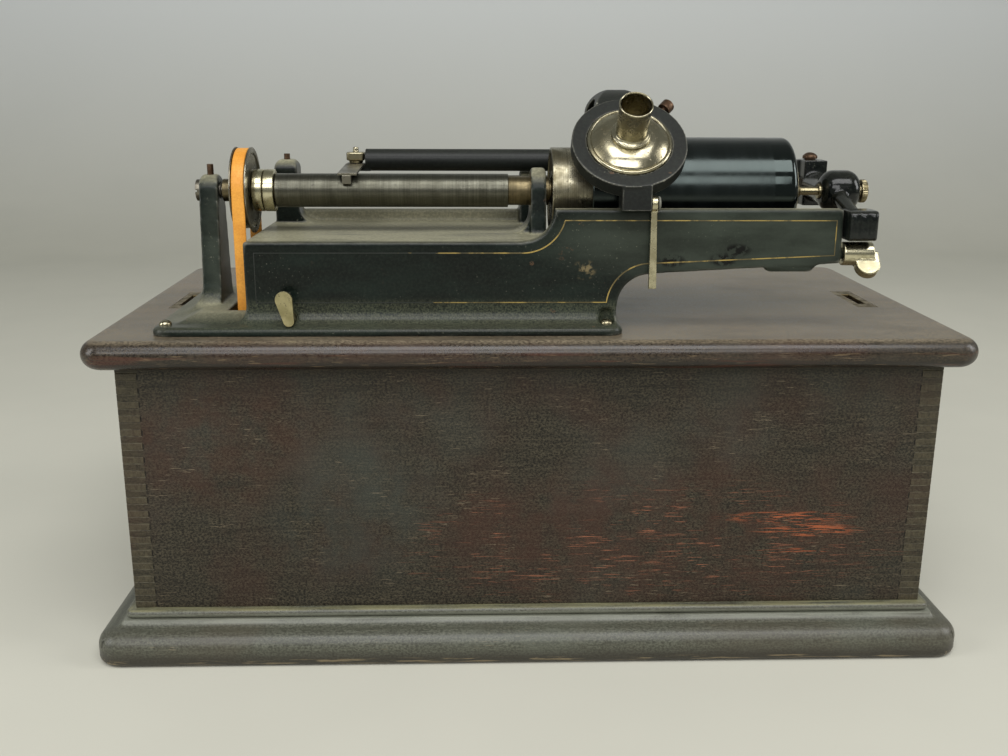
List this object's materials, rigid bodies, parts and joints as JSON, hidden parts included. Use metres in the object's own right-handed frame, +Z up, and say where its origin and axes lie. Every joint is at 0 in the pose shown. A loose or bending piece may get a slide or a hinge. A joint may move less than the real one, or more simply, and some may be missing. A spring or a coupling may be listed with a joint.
{
  "type": "cylinder phonograph",
  "caption": "Table-top cylinder phonograph in a dark wooden cabinet: belt-driven shaft with feed screw and mandrel, sliding carriage, end gate, spring motor under a hinged board.",
  "frame": {"origin": "centre of the overall box on the floor, under the base moulding", "axes": "+X along the shaft to the gate end, +Y to the back, +Z up"},
  "size_m": [0.465, 0.251, 0.297],
  "materials": {
    "cabinet_wood": "worn dark varnish",
    "moulding_wood": "worn dark varnish",
    "board_wood": "worn dark varnish",
    "plain_steel": "aged",
    "japanned_iron": "japanned",
    "bare_iron": "machined",
    "bronze": "dull",
    "brass": "dull",
    "worn_nickel": "worn nickel plate",
    "belt_leather": "new belt leather",
    "record_black": "gloss",
    "diaphragm_sheet": "plain"
  },
  "bodies": {
    "cabinet": {"wall_front": "cabinet_wood", "wall_back": "cabinet_wood", "wall_left": "cabinet_wood", "wall_right": "cabinet_wood", "floor_panel": "cabinet_wood", "moulding_long": "moulding_wood", "moulding_short": "moulding_wood", "hinge_lower_leaves": "plain_steel", "hinge_pins": "plain_steel", "crank_bush": "brass"},
    "motor_board": {"top_board": "board_wood", "clip_slot_plates": "plain_steel", "hinge_upper_leaves": "plain_steel", "bed_casting": "japanned_iron", "bed_screws": "plain_steel", "left_centre_screw": "plain_steel", "set_screws": "plain_steel", "shaft_bush": "bronze", "back_rod": "plain_steel", "gate_pivot": "plain_steel", "drive_belt": "belt_leather", "motor_plate_left": "bare_iron", "motor_plate_right": "bare_iron", "motor_pillars": "plain_steel", "motor_screws": "plain_steel"},
    "spindle": {"main_shaft": "plain_steel", "feed_screw": "plain_steel", "shaft_pulley": "bare_iron", "shaft_collars": "brass", "mandrel": "worn_nickel", "record_cylinder": "record_black"},
    "pulley_train": {"pulley_arbor": "plain_steel", "motor_pulley": "bare_iron", "governor_wheel": "brass"},
    "inter_train": {"inter_arbor": "plain_steel", "inter_wheel": "brass"},
    "barrel": {"spring_barrel": "bare_iron", "barrel_cap": "bare_iron", "mainspring": "plain_steel"},
    "winding": {"winding_arbor": "plain_steel", "ratchet_wheel": "brass"},
    "click": {"ratchet_click": "plain_steel"},
    "governor": {"governor_spindle": "plain_steel", "governor_disc": "brass", "governor_weights": "brass"},
    "starter": {"start_lever": "worn_nickel"},
    "carriage_slider": {"sleeve_bush": "bronze"},
    "carriage": {"carriage_arm": "japanned_iron", "feed_nut_tube": "japanned_iron", "feed_nut_spring": "worn_nickel", "half_nut": "bronze", "thumb_nut": "worn_nickel", "reproducer": "worn_nickel", "diaphragm": "diaphragm_sheet", "stylus_bar": "worn_nickel", "clamp_screw": "plain_steel"},
    "lifter": {"lift_lever": "worn_nickel"},
    "gate": {"end_gate": "japanned_iron", "gate_centre": "brass"},
    "latch": {"gate_latch": "brass"}
  },
  "joints": [
    {"name": "board_hinge", "type": "hinge", "parent": "cabinet", "child": "motor_board", "pos_m": [0, 0.11, 0.157], "axis": [-1, 0, 0], "range_deg": [0, 75]},
    {"name": "spindle_spin", "type": "hinge", "parent": "motor_board", "child": "spindle", "pos_m": [0, -0.051, 0.244], "axis": [1, 0, 0], "continuous": true},
    {"name": "pulley_spin", "type": "hinge", "parent": "motor_board", "child": "pulley_train", "pos_m": [-0.09, -0.051, 0.118], "axis": [1, 0, 0], "continuous": true},
    {"name": "inter_spin", "type": "hinge", "parent": "motor_board", "child": "inter_train", "pos_m": [-0.09, -0.00862, 0.09546], "axis": [1, 0, 0], "continuous": true},
    {"name": "barrel_spin", "type": "hinge", "parent": "motor_board", "child": "barrel", "pos_m": [-0.09, 0.04232, 0.10817], "axis": [1, 0, 0], "continuous": true},
    {"name": "governor_spin", "type": "hinge", "parent": "motor_board", "child": "governor", "pos_m": [-0.09, -0.04988, 0.08602], "axis": [1, 0, 0], "continuous": true},
    {"name": "winding_spin", "type": "hinge", "parent": "motor_board", "child": "winding", "pos_m": [-0.03, 0.04232, 0.10817], "axis": [1, 0, 0], "continuous": true},
    {"name": "click_lift", "type": "hinge", "parent": "motor_board", "child": "click", "pos_m": [-0.028, 0.02232, 0.12917], "axis": [1, 0, 0], "range_deg": [0, 15]},
    {"name": "start_turn", "type": "hinge", "parent": "motor_board", "child": "starter", "pos_m": [-0.1243, -0.092, 0.1832], "axis": [0, 1, 0], "range_deg": [0, 15]},
    {"name": "carriage_slide", "type": "slide", "parent": "motor_board", "child": "carriage_slider", "axis": [1, 0, 0], "range_m": [-0.014, 0.086]},
    {"name": "carriage_lift", "type": "hinge", "parent": "carriage_slider", "child": "carriage", "pos_m": [0.046, -0.008, 0.244], "axis": [-1, 0, 0], "range_deg": [0, 75]},
    {"name": "lifter_turn", "type": "hinge", "parent": "carriage", "child": "lifter", "pos_m": [0.0603, -0.1, 0.24188], "axis": [-1, 0, 0], "range_deg": [0, 90]},
    {"name": "gate_swing", "type": "hinge", "parent": "motor_board", "child": "gate", "pos_m": [0.1655, -0.008, 0.244], "axis": [0, 0, 1], "range_deg": [0, 95]},
    {"name": "latch_turn", "type": "hinge", "parent": "motor_board", "child": "latch", "pos_m": [0.165, -0.092, 0.2157], "axis": [1, 0, 0], "range_deg": [0, 90]}
  ],
  "couplings": [
    {"joint": "pulley_spin", "follows": "spindle_spin", "ratio": 1},
    {"joint": "inter_spin", "follows": "spindle_spin", "ratio": -0.33333},
    {"joint": "barrel_spin", "follows": "spindle_spin", "ratio": 0.098765},
    {"joint": "governor_spin", "follows": "spindle_spin", "ratio": -3}
  ]
}
